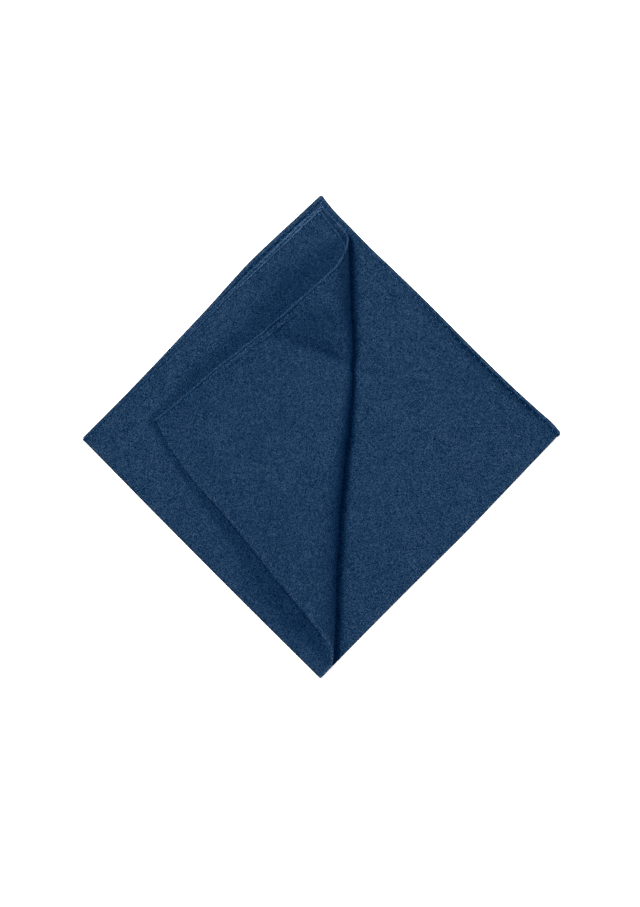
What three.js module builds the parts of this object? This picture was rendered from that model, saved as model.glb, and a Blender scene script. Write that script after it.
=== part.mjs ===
// A pocket square: one square of brushed wool cloth with a rolled hem on its four sides.
// It is folded in half twice, so four layers lie on each other as two pairs, and it lies
// on one corner-to-corner diagonal with its open corner at the top. The upper pair's right
// corner is turned back to the left over a soft roll that nobody has pressed flat.
// Millimetres. X runs to the right, Y to the open corner, Z up from the surface it lies on.
import * as THREE from "three";

// Thickness, from the surface up
const PAIR = 1.2; // two layers of cloth lying together
const AIR = 0.5; // loft between the lower pair and the upper pair
const SEAM = 0.3; // clear gap between neighbouring pieces
const UPPER_BASE = PAIR + AIR; // underside of the upper pair
const STACK = UPPER_BASE + PAIR; // top of the four flat layers
const REST_GAP = 1.0; // the turned corner lies this far above the layers under it

// Hems and the second fold
const HEM_WIDTH = 2.6;
const LOWER_HEM_HEIGHT = 1.4;
const UPPER_HEM_HEIGHT = 1.6;
const HEM_INSET = HEM_WIDTH + SEAM; // a panel stops this far inside a hemmed edge
const BEND_RADIUS = STACK / 2; // the second fold wraps all four layers
const BEND_INSET = 2 * BEND_RADIUS + SEAM;

// Corners of the folded square, seen from above
const LEFT = new THREE.Vector2(-112.6, -0.7);
const BOTTOM = new THREE.Vector2(-0.3, -113.7);
const RIGHT = new THREE.Vector2(112.6, 2.1);
const TOP = new THREE.Vector2(0.1, 113.7);
const UPPER_TOP = new THREE.Vector2(0.3, 109.4); // the upper pair's own open corner, drawn down by its roll
const TURNED_TIP = new THREE.Vector2(-79.8, 7.8); // where the turned-back corner lies

// How far each edge bows out of the straight line between its corners, at a distance along it
const BOWS = {
  lowerLeft: [
    { along: 0, out: 0 },
    { along: 80, out: 0.4 },
    { along: 159, out: 0 },
  ],
  lowerRight: [
    { along: 0, out: 0 },
    { along: 40, out: 0.1 },
    { along: 95, out: 0.8 },
    { along: 162, out: 0 },
  ],
  upperRight: [
    { along: 0, out: 0 },
    { along: 5, out: 0.5 },
    { along: 45, out: -0.9 },
    { along: 130, out: -1.1 },
    { along: 158, out: 0 },
  ],
  upperLeft: [
    { along: 0, out: 0 },
    { along: 47, out: 1.8 },
    { along: 100, out: 0.2 },
    { along: 161, out: 0 },
  ],
  upperPairLeft: [
    { along: 0, out: 0 },
    { along: 20, out: 1.3 },
    { along: 60, out: 1.4 },
    { along: 110, out: 0 },
    { along: 158, out: 0 },
  ],
};

// The roll, section by section from the bottom corner up: where its right side stands, the
// radius that the upper pair bends to, and its height as a share of twice that radius. It is
// pinched where a trough runs across the flap, and stands open at its mouth.
const ROLL = [
  { y: -113, edge: 5.1, radius: 2.1, height: 0.9 },
  { y: -103, edge: 6.0, radius: 6.0, height: 0.9 },
  { y: -90, edge: 6.6, radius: 8.4, height: 0.87 },
  { y: -60, edge: 7.4, radius: 9.1, height: 0.86 },
  { y: -25, edge: 9.8, radius: 8.4, height: 0.88 },
  { y: 0, edge: 12.1, radius: 6.3, height: 0.97 },
  { y: 20, edge: 14.3, radius: 4.2, height: 1.1 },
  { y: 34, edge: 15.0, radius: 3.6, height: 1.2 },
  { y: 50, edge: 14.6, radius: 5.8, height: 1.14 },
  { y: 68, edge: 13.5, radius: 8.5, height: 1.08 },
  { y: 90, edge: 12.6, radius: 8.5, height: 1.13 },
  { y: 105, edge: 12.1, radius: 7.3, height: 1.24 },
];
const FOOT = { start: -111, end: -88.5 }; // folded edge of the upper pair, before and after the roll
const MOUTH = { start: 104.9, end: 77.5 }; // hemmed edge of the upper pair, before and after the roll
const LANDING = 90; // the flap comes down to rest this far from the roll's crest
const LANDING_SLANT = 0.33; // further up, it comes down this much later for each millimetre
const TROUGH_SLANT = 0.3; // the trough climbs this much for each millimetre away from the roll

// How far the flap's hem curls up, at a distance along it from the turned corner's tip
const HEM_CURL = [
  { along: 0, lift: 0 },
  { along: 15, lift: 0.6 },
  { along: 45, lift: 3.4 },
  { along: 65, lift: 3.4 },
  { along: 90, lift: 1.2 },
  { along: 104, lift: 0 },
  { along: 120, lift: 0 },
];
const CURL_REACH = 11; // the curl fades this far inside the hem

// Sections along each piece
const PANEL_STEPS = 14;
const ROLL_STEPS = 12;
const FLAP_STEPS = 12;
const ROLL_ACROSS = 26;
const HEM_STEPS = 24;
const TIP_SHARE = 0.012; // a pointed panel ends in a blunt tip of this share of its width

const CLOTH_COLOUR = 0x203b59;
const HEM_COLOUR = 0x2a4767;

const lerp = THREE.MathUtils.lerp;

// A smooth curve through the rows of a table, read at one place.
function smoothTable(rows, key, columns) {
  const places = rows.map((row) => row[key]);
  const values = rows.flatMap((row) => columns.map((column) => row[column]));
  const curve = new THREE.CubicInterpolant(places, values, columns.length);
  return (at) => Array.from(curve.evaluate(at));
}

const rollAt = smoothTable(ROLL, "y", ["edge", "radius", "height"]);
const curlAt = smoothTable(HEM_CURL, "along", ["lift"]);

// Where the upper pair leaves the flat and starts up the roll, at a height y on the plan.
function bendStart(y) {
  const [edge, radius] = rollAt(y);
  return edge - PAIR / 2 - radius;
}

// Normal of the line from one corner to the next, to the left of its run: into the square.
function inwardOf(from, to) {
  const run = to.clone().sub(from).normalize();
  return new THREE.Vector2(-run.y, run.x);
}

// The bow at a share of the way from one corner to the next, as a step out of the line.
function bowStep(from, to, rows) {
  const bow = smoothTable(rows, "along", ["out"]);
  const length = to.distanceTo(from);
  const outward = inwardOf(from, to).negate();
  return (share) => outward.clone().multiplyScalar(bow(share * length)[0]);
}

// The line from one corner to the next with its bow, as a function of the share run along it.
function bowedEdge(from, to, rows) {
  const step = bowStep(from, to, rows);
  return (share) => from.clone().lerp(to, share).add(step(share));
}

const edges = {
  lowerLeft: bowedEdge(LEFT, BOTTOM, BOWS.lowerLeft),
  lowerRight: bowedEdge(BOTTOM, RIGHT, BOWS.lowerRight),
  upperRight: bowedEdge(RIGHT, TOP, BOWS.upperRight),
  upperLeft: bowedEdge(TOP, LEFT, BOWS.upperLeft),
};

// A point of the folded square: u runs from the lower-left edge to the upper-right edge,
// v from the lower-right edge to the upper-left edge. All four bows fade towards the middle.
function squarePoint(u, v) {
  const across = edges.lowerRight(u).multiplyScalar(1 - v);
  across.addScaledVector(edges.upperLeft(1 - u), v);
  const up = edges.lowerLeft(1 - v).multiplyScalar(1 - u);
  up.addScaledVector(edges.upperRight(v), u);
  const straight = BOTTOM.clone().multiplyScalar((1 - u) * (1 - v));
  straight.addScaledVector(RIGHT, u * (1 - v));
  straight.addScaledVector(TOP, u * v);
  straight.addScaledVector(LEFT, (1 - u) * v);
  return across.add(up).sub(straight);
}

// Places from 0 to length, with two more close to each end for a rounded rim.
function rimmedSteps(length, steps, thickness) {
  const rim = [0, 0.15 * thickness, 0.5 * thickness];
  const inner = Array.from({ length: steps - 1 }, (_, i) => (length * (i + 1)) / steps);
  const far = rim.map((place) => length - place).reverse();
  return [...rim, ...inner, ...far];
}

// Share of the full half thickness at each of those places.
function rimShares(count) {
  return Array.from({ length: count }, (_, i) => {
    const fromEnd = Math.min(i, count - 1 - i);
    return [0, 0.71][fromEnd] ?? 1;
  });
}

// A closed wall about a grid of points on its middle surface. The wall's faces stand half its
// thickness to each side along the surface's normal, and they meet along the grid's border.
function wallAbout(grid, halfThickness) {
  const rows = grid.length;
  const columns = grid[0].length;
  const onBorder = (i, j) => i === 0 || j === 0 || i === rows - 1 || j === columns - 1;
  const at = (i, j) =>
    grid[THREE.MathUtils.clamp(i, 0, rows - 1)][THREE.MathUtils.clamp(j, 0, columns - 1)];
  const positions = [];
  const upper = [];
  const lower = [];
  for (let i = 0; i < rows; i++) {
    upper.push([]);
    lower.push([]);
    for (let j = 0; j < columns; j++) {
      const along = at(i + 1, j).clone().sub(at(i - 1, j));
      const across = at(i, j + 1).clone().sub(at(i, j - 1));
      const normal = along.cross(across).normalize();
      const half = onBorder(i, j) ? 0 : halfThickness(i, j);
      upper[i].push(positions.length / 3);
      positions.push(...at(i, j).clone().addScaledVector(normal, half));
      if (onBorder(i, j)) {
        lower[i].push(upper[i][j]);
        continue;
      }
      lower[i].push(positions.length / 3);
      positions.push(...at(i, j).clone().addScaledVector(normal, -half));
    }
  }
  const triangles = [];
  for (let i = 0; i < rows - 1; i++) {
    for (let j = 0; j < columns - 1; j++) {
      const [a, b, c, d] = [upper[i][j], upper[i + 1][j], upper[i + 1][j + 1], upper[i][j + 1]];
      const [e, f, g, h] = [lower[i][j], lower[i + 1][j], lower[i + 1][j + 1], lower[i][j + 1]];
      triangles.push(a, b, c, a, c, d);
      triangles.push(e, g, f, e, h, g);
    }
  }
  const geometry = new THREE.BufferGeometry();
  geometry.setAttribute("position", new THREE.Float32BufferAttribute(positions, 3));
  geometry.setIndex(triangles);
  geometry.computeVertexNormals();
  return geometry;
}

function clothMesh(name, geometry, colour) {
  const material = new THREE.MeshStandardMaterial({ color: colour, roughness: 0.95, metalness: 0 });
  const mesh = new THREE.Mesh(geometry, material);
  mesh.name = name;
  return mesh;
}

// A panel of two layers about its grid, rounded at its rim.
function panelMesh(name, grid) {
  const rowShare = rimShares(grid.length);
  const columnShare = rimShares(grid[0].length);
  const half = (i, j) => (PAIR / 2) * rowShare[i] * columnShare[j];
  return clothMesh(name, wallAbout(grid, half), CLOTH_COLOUR);
}

// A rolled hem or fold: an oval bead swept along a line of stations, each with the bead's
// outer and inner edge. Its thickness follows the oval across its width.
const OVAL = [0, 0.15, 0.5, 0.85, 1];
function beadMesh(name, stations, height, colour) {
  const grid = stations.map(({ outer, inner }) => OVAL.map((share) => outer.clone().lerp(inner, share)));
  const half = (i, j) => height * Math.sqrt(OVAL[j] * (1 - OVAL[j]));
  return clothMesh(name, wallAbout(grid, half), colour);
}

const flat = (point, z) => new THREE.Vector3(point.x, point.y, z);

// Lower pair: a whole quarter of the cloth, lying flat.
function lowerLayers() {
  const side = RIGHT.distanceTo(BOTTOM);
  const us = rimmedSteps(side - BEND_INSET - HEM_INSET, PANEL_STEPS, PAIR);
  const vs = rimmedSteps(side - HEM_INSET, PANEL_STEPS, PAIR);
  const grid = us.map((u) => vs.map((v) => flat(squarePoint((u + BEND_INSET) / side, v / side), PAIR / 2)));
  return panelMesh("lower_layers", grid);
}

// A hem along one edge of the lower pair, from its start to its end as shares of the edge.
function lowerHem(name, pointAt, start, end) {
  const side = RIGHT.distanceTo(BOTTOM);
  const stations = Array.from({ length: HEM_STEPS + 1 }, (_, i) => {
    const share = lerp(start, end, i / HEM_STEPS);
    return {
      outer: flat(pointAt(share, 1), LOWER_HEM_HEIGHT / 2),
      inner: flat(pointAt(share, 1 - HEM_WIDTH / side), LOWER_HEM_HEIGHT / 2),
    };
  });
  return beadMesh(name, stations, LOWER_HEM_HEIGHT, HEM_COLOUR);
}

const inwardLowerLeft = inwardOf(LEFT, BOTTOM);
const inwardUpperLeft = inwardOf(UPPER_TOP, LEFT);
const upperPairBow = bowStep(UPPER_TOP, LEFT, BOWS.upperPairLeft);

// The upper pair's plan. Its hemmed edge runs from the left corner to its open corner and on
// to the roll's mouth; its folded edge runs from the left corner to the roll's foot.
function upperOutline(inset) {
  const left = LEFT.clone().addScaledVector(inwardLowerLeft, BEND_INSET);
  left.addScaledVector(inwardUpperLeft, inset);
  const corner = UPPER_TOP.clone().add(new THREE.Vector2(0, -inset * Math.SQRT2));
  const mouthY = MOUTH.start - inset * Math.SQRT2;
  const mouth = new THREE.Vector2(bendStart(mouthY) - SEAM / 2, mouthY);
  const foot = new THREE.Vector2(bendStart(FOOT.start) - SEAM / 2, FOOT.start);
  return { left, corner, mouth, foot };
}

// Upper pair left of the roll, from the left corner to the line where the roll starts.
function upperLayers() {
  const { left, corner, mouth, foot } = upperOutline(HEM_INSET);
  const toCorner = corner.distanceTo(left);
  const whole = toCorner + mouth.distanceTo(corner);
  const hemSide = (share) => {
    const run = share * whole;
    return run < toCorner
      ? left.clone().lerp(corner, run / toCorner).add(upperPairBow(1 - run / toCorner))
      : corner.clone().lerp(mouth, (run - toCorner) / (whole - toCorner));
  };
  const stations = rimmedSteps(whole * (1 - TIP_SHARE), PANEL_STEPS, PAIR);
  stations.splice(-3, 0, toCorner - whole * TIP_SHARE);
  stations.sort((a, b) => a - b);
  const acrossSteps = rimmedSteps(mouth.distanceTo(foot), ROLL_ACROSS, PAIR);
  const width = acrossSteps.at(-1);
  const bulges = acrossSteps.map((across) => {
    const straight = foot.clone().lerp(mouth, across / width);
    return bendStart(straight.y) - SEAM / 2 - straight.x;
  });
  const grid = stations.map((station) => {
    const share = station / whole + TIP_SHARE;
    const low = left.clone().lerp(foot, share);
    const high = hemSide(share);
    return acrossSteps.map((across, i) => {
      const point = low.clone().lerp(high, across / width);
      point.x += bulges[i] * share ** 4;
      return flat(point, PAIR / 2);
    });
  });
  return panelMesh("upper_layers", grid.reverse());
}

function upperLeftHem() {
  const reach = UPPER_TOP.distanceTo(LEFT);
  const stations = Array.from({ length: HEM_STEPS + 1 }, (_, i) => {
    const share = lerp(2 * HEM_INSET / reach, 1 - HEM_INSET / reach, i / HEM_STEPS);
    const outer = UPPER_TOP.clone().lerp(LEFT, share).add(upperPairBow(share));
    const inner = outer.clone().addScaledVector(inwardUpperLeft, HEM_WIDTH);
    return { outer: flat(outer, UPPER_HEM_HEIGHT / 2), inner: flat(inner, UPPER_HEM_HEIGHT / 2) };
  });
  return beadMesh("upper_hem_left", stations, UPPER_HEM_HEIGHT, HEM_COLOUR);
}

// Height of the upper pair's middle surface above its underside, on the roll's crest.
function crestHeight(y) {
  const [, radius, height] = rollAt(y);
  return PAIR / 2 + 2 * height * radius;
}
const REST_HEIGHT = PAIR + REST_GAP + PAIR / 2; // the same, where the flap lies on the layers

// A point on the roll: turn runs from 0 at its start on the layers to pi on its crest.
function rollPoint(turn, y) {
  const [, radius, height] = rollAt(y);
  const x = bendStart(y) + radius * Math.sin(turn) + (SEAM / 2) * (1 - turn / Math.PI);
  return new THREE.Vector3(x, y, PAIR / 2 + height * radius * (1 - Math.cos(turn)));
}

// A point on the flap: it leaves the crest level, comes down, and lands level.
function flapPoint(x, y) {
  const away = Math.max(bendStart(y) - x, 0);
  const share = Math.min(away / (LANDING + LANDING_SLANT * y), 1);
  const lift = 1 - 2.5 * share ** 1.5 + 1.5 * share ** 2.5;
  const crest = crestHeight(y - TROUGH_SLANT * away);
  const fromTip = new THREE.Vector2(x, y).sub(TURNED_TIP);
  const [hemLift] = curlAt(THREE.MathUtils.clamp(-fromTip.cross(inwardFlapHem), 0, 120));
  const curl = hemLift * Math.exp(-((fromTip.dot(inwardFlapHem) / CURL_REACH) ** 2));
  return new THREE.Vector3(x, y, REST_HEIGHT + (crest - REST_HEIGHT) * lift + curl);
}

// The two sides of the turned corner, as y on the roll at a turn.
const footAt = (turn) => lerp(FOOT.start, FOOT.end, turn / Math.PI);
const mouthAt = (turn) => lerp(MOUTH.start, MOUTH.end, turn / Math.PI);

const footCrest = new THREE.Vector2(bendStart(FOOT.end), FOOT.end);
const mouthCrest = new THREE.Vector2(bendStart(MOUTH.end), MOUTH.end);
const inwardFlapHem = inwardOf(TURNED_TIP, mouthCrest).negate();
const hemInsetY = HEM_INSET / inwardFlapHem.y; // negative: down the plan from the hem

// Roll and turned-back corner: sections round the roll, then sections of the flap drawn in
// towards its tip.
function turnedCorner() {
  const acrossSteps = rimmedSteps(MOUTH.end - FOOT.end, ROLL_ACROSS, PAIR);
  const width = acrossSteps.at(-1);
  const shares = acrossSteps.map((across) => across / width);
  const rollTurns = rimmedSteps(Math.PI * 6, ROLL_STEPS, PAIR).slice(0, -3);
  const roll = rollTurns.map((arc) => {
    const turn = arc / 6;
    return shares.map((share) => rollPoint(turn, lerp(footAt(turn), mouthAt(turn) + hemInsetY, share)));
  });
  const tip = TURNED_TIP.clone().addScaledVector(inwardFlapHem, HEM_INSET);
  const reach = footCrest.distanceTo(tip);
  const flapRuns = rimmedSteps(reach * (1 - TIP_SHARE), FLAP_STEPS, PAIR);
  flapRuns.splice(1, 2);
  const flap = flapRuns.map((run) =>
    shares.map((share) => {
      const y = lerp(footAt(Math.PI), mouthAt(Math.PI) + hemInsetY, share);
      const plan = new THREE.Vector2(bendStart(y), y).lerp(tip, run / reach);
      return flapPoint(plan.x, plan.y);
    }),
  );
  return panelMesh("turned_corner", [...roll, ...flap]);
}

// Hem of the turned corner: along the layers from the open corner, round the roll's mouth, and
// down the flap to its tip.
function turnedHem() {
  const insetPlan = new THREE.Vector2(0, -HEM_WIDTH * Math.SQRT2);
  const station = (outer, inner) => {
    const raise = (UPPER_HEM_HEIGHT - PAIR) / 2;
    return { outer: outer.setZ(outer.z + raise), inner: inner.setZ(inner.z + raise) };
  };
  const stations = [];
  const start = UPPER_TOP.clone().lerp(new THREE.Vector2(bendStart(MOUTH.start), MOUTH.start), 0.3);
  stations.push(station(flat(start, PAIR / 2), flat(start.clone().add(insetPlan), PAIR / 2)));
  for (let i = 0; i <= ROLL_STEPS; i++) {
    const turn = (Math.PI * i) / ROLL_STEPS;
    const y = mouthAt(turn);
    stations.push(station(rollPoint(turn, y), rollPoint(turn, y + insetPlan.y)));
  }
  for (let i = 1; i <= HEM_STEPS; i++) {
    const outer = mouthCrest.clone().lerp(TURNED_TIP, i / HEM_STEPS);
    const inner = outer.clone().addScaledVector(inwardFlapHem, HEM_WIDTH);
    stations.push(station(flapPoint(outer.x, outer.y), flapPoint(inner.x, inner.y)));
  }
  return beadMesh("turned_hem", stations, UPPER_HEM_HEIGHT, HEM_COLOUR);
}

// The second fold, where all four layers turn at the lower-left edge.
function foldBend() {
  const reach = LEFT.distanceTo(BOTTOM);
  const stations = Array.from({ length: HEM_STEPS + 1 }, (_, i) => {
    const outer = edges.lowerLeft(lerp(SEAM / reach, 1 - SEAM / reach, i / HEM_STEPS));
    const inner = outer.clone().addScaledVector(inwardLowerLeft, 2 * BEND_RADIUS);
    return { outer: flat(outer, BEND_RADIUS), inner: flat(inner, BEND_RADIUS) };
  });
  return beadMesh("fold_bend", stations, STACK, CLOTH_COLOUR);
}

const hemShare = HEM_INSET / RIGHT.distanceTo(BOTTOM);
const bendShare = BEND_INSET / RIGHT.distanceTo(BOTTOM);
const lowerPair = new THREE.Group();
lowerPair.add(
  lowerLayers(),
  lowerHem("lower_hem_right", (share, depth) => squarePoint(depth, share), 0, 1),
  lowerHem("lower_hem_left", (share, depth) => squarePoint(share, depth), bendShare, 1 - hemShare),
);

const upperPair = new THREE.Group();
upperPair.position.z = UPPER_BASE;
upperPair.add(upperLayers(), upperLeftHem(), turnedCorner(), turnedHem());

const pocketSquare = new THREE.Group();
pocketSquare.add(lowerPair, upperPair, foldBend());

// The part's origin is under the middle of the folded square.
const extent = new THREE.Box3().setFromObject(pocketSquare);
const middle = extent.getCenter(new THREE.Vector3());
pocketSquare.position.set(-middle.x, -middle.y, -extent.min.z);

export default pocketSquare;
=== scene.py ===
"""A folded wool pocket square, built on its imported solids.

The square is one sheet of cloth. Each point of the flat cloth has a place u, v in millimetres
from the cloth's centre, and fold() carries it to where it lies once the square has been folded
in half twice, laid down on one diagonal, and has had a corner turned back over a soft roll.
The rolled hems and the pick stitches are made on the flat cloth and folded in the same way.
"""

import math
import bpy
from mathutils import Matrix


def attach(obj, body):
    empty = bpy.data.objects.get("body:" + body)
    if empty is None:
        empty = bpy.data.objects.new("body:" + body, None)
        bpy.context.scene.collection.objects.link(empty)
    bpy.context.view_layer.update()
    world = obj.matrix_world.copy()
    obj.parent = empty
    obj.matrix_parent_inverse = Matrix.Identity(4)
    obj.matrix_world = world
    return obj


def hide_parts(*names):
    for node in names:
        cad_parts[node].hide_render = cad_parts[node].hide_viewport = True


bl_info = {
    "name": "Folded pocket square",
    "version": (1, 0, 0),
    "blender": (4, 5, 0),
    "location": "3D View > Sidebar > Pocket square",
    "description": "Wool pocket square with rolled hems, folded with one corner turned back",
    "category": "Object",
}

import bpy
import numpy as np
from mathutils import Vector

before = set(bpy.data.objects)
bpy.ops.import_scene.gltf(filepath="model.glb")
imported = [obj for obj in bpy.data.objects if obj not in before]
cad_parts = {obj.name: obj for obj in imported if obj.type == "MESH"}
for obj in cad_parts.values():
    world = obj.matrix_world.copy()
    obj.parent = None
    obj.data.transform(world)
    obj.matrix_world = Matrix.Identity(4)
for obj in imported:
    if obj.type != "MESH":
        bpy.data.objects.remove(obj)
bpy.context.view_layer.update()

MM = 0.001
QUARTER = 160.0  # side of the folded square
THICKNESS = 0.55  # one layer of the cloth

# Height of the middle of each layer where it lies flat, from the bottom layer up
LAYER_1, LAYER_2, LAYER_3, LAYER_4 = 0.3, 0.9, 2.0, 2.6
FLOOR_GAP = 0.005  # nothing lies lower than this
LOWER_MIDDLE, UPPER_MIDDLE = (LAYER_1 + LAYER_2) / 2, (LAYER_3 + LAYER_4) / 2
PAIR_HALF = (LAYER_2 - LAYER_1) / 2  # from a pair's middle to either of its layers
FOLD_CENTRE = (LAYER_1 + LAYER_4) / 2
FOLD_RADIUS = (LAYER_4 - LAYER_1) / 2  # of the outermost layer at the second fold
EDGE_INSET = THICKNESS / 2  # the middle of a fold lies this far inside its outline

# Corners of the folded square seen from above, in the part's frame
LEFT = (-112.7, -0.8)
BOTTOM = (-0.4, -113.8)
RIGHT = (112.9, 2.0)
TOP = (0.0, 114.1)
UPPER_RIGHT = (110.0, 1.7)  # where the upper pair's turned-back corner would lie if laid flat
UPPER_TOP = (0.35, 109.3)

# Bow of each edge out of the straight line between its corners: (distance along it, bow)
BOW_LOWER_LEFT = [(0, 0), (40, 0.3), (80, 0.4), (120, 0.3), (159, 0)]
BOW_LOWER_RIGHT = [(0, 0), (40, 0.1), (70, 0.4), (95, 0.8), (125, 0.5), (162, 0)]
BOW_UPPER_RIGHT = [
    (0, 0), (5, 0.5), (16, 0), (34, -0.7), (52, -0.9), (90, -0.7),
    (112, -1.0), (125, -1.3), (138, -1.1), (150, -0.9), (158, 0),
]  # fmt: skip
BOW_UPPER_LEFT = [
    (0, 0), (12, 0.5), (28, 1.3), (47, 1.9), (60, 1.5), (73, 0.9),
    (94, 0.4), (113, 0), (135, -0.2), (161, 0),
]  # fmt: skip
BOW_FLAP_LOWER = [(0, 0), (55, 0.6), (87, 0.8), (105, 1.6), (123, 2.9), (145, 2.0), (160, 0)]
BOW_FLAP_HEM = [(0, 0), (27, -0.1), (53, -0.1), (80, -0.4), (101, -1.3), (120, -1.0), (160, 0)]
BOW_UPPER_PAIR_LEFT = [(0, 0), (12, 1.1), (30, 1.3), (60, 1.4), (85, 0.8), (110, 0), (158, 0)]

# The roll, from the bottom corner up: where its right side stands, and its bend's radius
ROLL_TILT = math.radians(2.0)  # its axis leans to the right going up
ROLL = [
    # y, x of the right side, radius, height as a share of its width
    (-113, 4.6, 4.2, 0.85),
    (-107, 5.3, 7.6, 0.85),
    (-90, 6.4, 9.2, 0.86),
    (-60, 7.3, 9.5, 0.86),
    (-33, 9.0, 9.0, 0.87),
    (-15, 10.5, 7.8, 0.9),
    (5, 12.5, 6.0, 1.0),
    (20, 14.2, 4.2, 1.1),
    (33, 14.9, 3.5, 1.2),
    (47, 14.7, 5.4, 1.15),
    (60, 13.7, 8.0, 1.1),
    (75, 13.3, 9.0, 1.07),
    (91, 12.6, 8.6, 1.15),
    (109, 11.8, 7.2, 1.3),
]
SIDE_HEIGHT = 0.29  # the roll is widest at this share of its height
FULLNESS = (1.0, 1.25)  # power of its section at its foot and at its mouth; 1 is an ellipse
MOUTH_SPAN = (40, 80)  # along the roll, the section changes from one to the other here
LANDING = 93.0  # the flap comes down to rest this far from the roll
LANDING_SLANT = 0.33  # further up, it comes down this much later for each millimetre
REST_HEIGHT = 2.7  # of the flap's middle above the upper pair's, where it rests
TROUGH_START = 34.5  # the trough leaves the roll at this height up the page
TROUGH_SLANT = 0.3  # and climbs this much for each millimetre from the roll
TROUGH_WIDTH = 5.0
TROUGH_DEPTH = [(0, 0), (5, 2.0), (16, 2.2), (30, 1.2), (44, 1.3), (56, 0.7), (75, 0), (150, 0)]

# The flap's hem is stiff and stands up. From the turned corner along the hem: how far its edge
# curls up, and how far the cloth beside it is lifted.
HEM_CURL = [
    # along the hem, curl, lift
    (0, 0, 0),
    (12, 1.1, 0.2),
    (27, 3.3, 0.3),
    (45, 4.9, 0.4),
    (62, 3.8, 0.5),
    (80, 2.8, 0.5),
    (98, 1.0, 0.2),
    (116, 0, 0),
    (160, 0, 0),
]
CURL_REACH, LIFT_REACH = 12.0, 26.0

# Inside the upper-right hem the cloth is puffed up between the stitches
SOFT_FOLD, SOFT_REACH = 0.35, 2.6  # the first fold stands this much thicker, over this width
SOFT_SPAN = (5, 25)  # on the turned corner, from this far past the start of the bend
PUFF_HEIGHT, PUFF_PLACE, PUFF_REACH = 0.75, 6.0, 3.2
PUFF_FALL, PUFF_SPAN = 0.6, (60, 110)  # it loses this share over this span from the middle

U_SPAN, V_SPAN = 160.5, 160.1  # what the sides of the plan measure along u and v
# How far the top layer has slipped back from the one under it, along each of its open edges
FAN_LEFT = [(0, 0), (60, 0.3), (95, 0.8), (130, 1.3), (150, 1.1), (160, 0.6)]
FAN_RIGHT = [(0, 0), (50, 0.4), (100, 2.0), (135, 2.7), (150, 1.7), (160, 0.5)]
HEM_REACH = 158.7  # the cloth runs this far from its centre, into the middle of its rolled hem
HEM_HALF_HEIGHT = 0.52
HEM_CLIMB = 9.0  # a layer starts to climb over the hems under it this far from its own
# How far the layers of each pair climb over them, for v below 0 and for v above it
LOWER_CLIMB, UPPER_CLIMB = (0.5, 0.35), (0.2, 0.4)
HEM_PROUD = 0.16  # the hem is rolled to the outer side, and stands this far out of the cloth
STITCH_PITCH = 4.25

# Painted highlights along the folds, the same in any light.
FIRST_FOLD_PAINTED_HIGHLIGHT, SECOND_FOLD_PAINTED_HIGHLIGHT = 0.15, 0.27  # how much lighter the folds are
FOOT_PAINTED_HIGHLIGHT = 0.65  # and the first one at the roll's foot, where it is much lighter
FOLD_HIGHLIGHT_WIDTH = 2.2  # to each side of a fold
# Where the painted shade and the painted highlights change on the flat cloth, from one corner
# of its map: along X or Y the folds are at 160, and each change is given by its start and its end
TURNED_END = (154.0, 160.0)  # the layer that shows on the turned corner ends, along both
FOOT_START, FOOT_END = (118.0, 142.0), (157.0, 163.0)  # the roll's foot, along X
# The stretch where the upper-right hem is sewn tightest and its painted shade is widest: along
# X, and its two ends along Y
RIGHT_TIGHTENS, TIGHT_START, TIGHT_END = (250.0, 300.0), (60.0, 100.0), (140.0, 156.0)
# Painted shade beside each hem starts, and is darkest, this far from a hem's middle: narrowly
# all along, and more widely where the hem is tight
NARROW_SHADE_SPAN, WIDE_SHADE_SPAN = (2.2, 0.9), (6.0, 2.2)

LIGHT_DISTANCE = 1.6  # metres from the cloth to each softbox
LEFT_TOWARDS, RIGHT_TOWARDS = (-0.355, 0.34, 1), (1.0, -0.1, 1)  # from the cloth to each
VIEW_CENTRE, VIEW_LENGTH = (-0.00058, -0.00788), 0.4269  # what the camera sees, in metres
NAVY = "#203B59"
FLOOR_GLOW = 0.5  # the floor is a white sheet lit from behind, so it takes no shadow
# Where the tone curve is set, as shares of the light that falls on flat cloth
TONE_STEPS = (0.12, 0.25, 0.4, 0.6, 0.8, 1.0, 1.25, 1.6)


def curve_through(rows, column):
    """A smooth curve through one column of a table, read against its first column."""
    places = np.array([row[0] for row in rows], float)
    values = np.array([row[column] for row in rows], float)
    slopes = np.gradient(values, places)

    def at(x):
        i = np.clip(np.searchsorted(places, x) - 1, 0, len(places) - 2)
        step = places[i + 1] - places[i]
        t = np.clip((x - places[i]) / step, 0, 1)
        start = values[i] * (1 + 2 * t) * (1 - t) ** 2 + slopes[i] * step * t * (1 - t) ** 2
        end = values[i + 1] * t * t * (3 - 2 * t) - slopes[i + 1] * step * t * t * (1 - t)
        return start + end

    return at


def smooth_step(x, start, end):
    t = np.clip((x - start) / (end - start), 0, 1)
    return t * t * (3 - 2 * t)


def bowed_edge(start, end, bow):
    """The line from one corner to the next with its bow, against the share run along it."""
    start, end = np.array(start), np.array(end)
    run = end - start
    length = np.hypot(*run)
    outward = np.array([run[1], -run[0]]) / length
    bow_at = curve_through(bow, 1)

    def at(share):
        share = np.asarray(share)[..., None]
        return start + run * share + outward * bow_at(share * length)

    return at


def flat_plan(left, bottom, right, top, bows):
    """Places of the flat folded square, from u and v as shares of its side. u runs from the
    lower-left edge, v from the lower-right one."""
    corners = [np.array(c) for c in (left, bottom, right, top)]
    left, bottom, right, top = corners
    lower_left = bowed_edge(left, bottom, bows[0])
    lower_right = bowed_edge(bottom, right, bows[1])
    upper_right = bowed_edge(right, top, bows[2])
    upper_left = bowed_edge(top, left, bows[3])

    def at(u, v):
        cu, cv = u[..., None], v[..., None]
        across = lower_right(u) * (1 - cv) + upper_left(1 - u) * cv
        up = lower_left(1 - v) * (1 - cu) + upper_right(v) * cu
        straight = bottom * (1 - cu) * (1 - cv) + right * cu * (1 - cv)
        straight = straight + top * cu * cv + left * (1 - cu) * cv
        return across + up - straight

    return at


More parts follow.
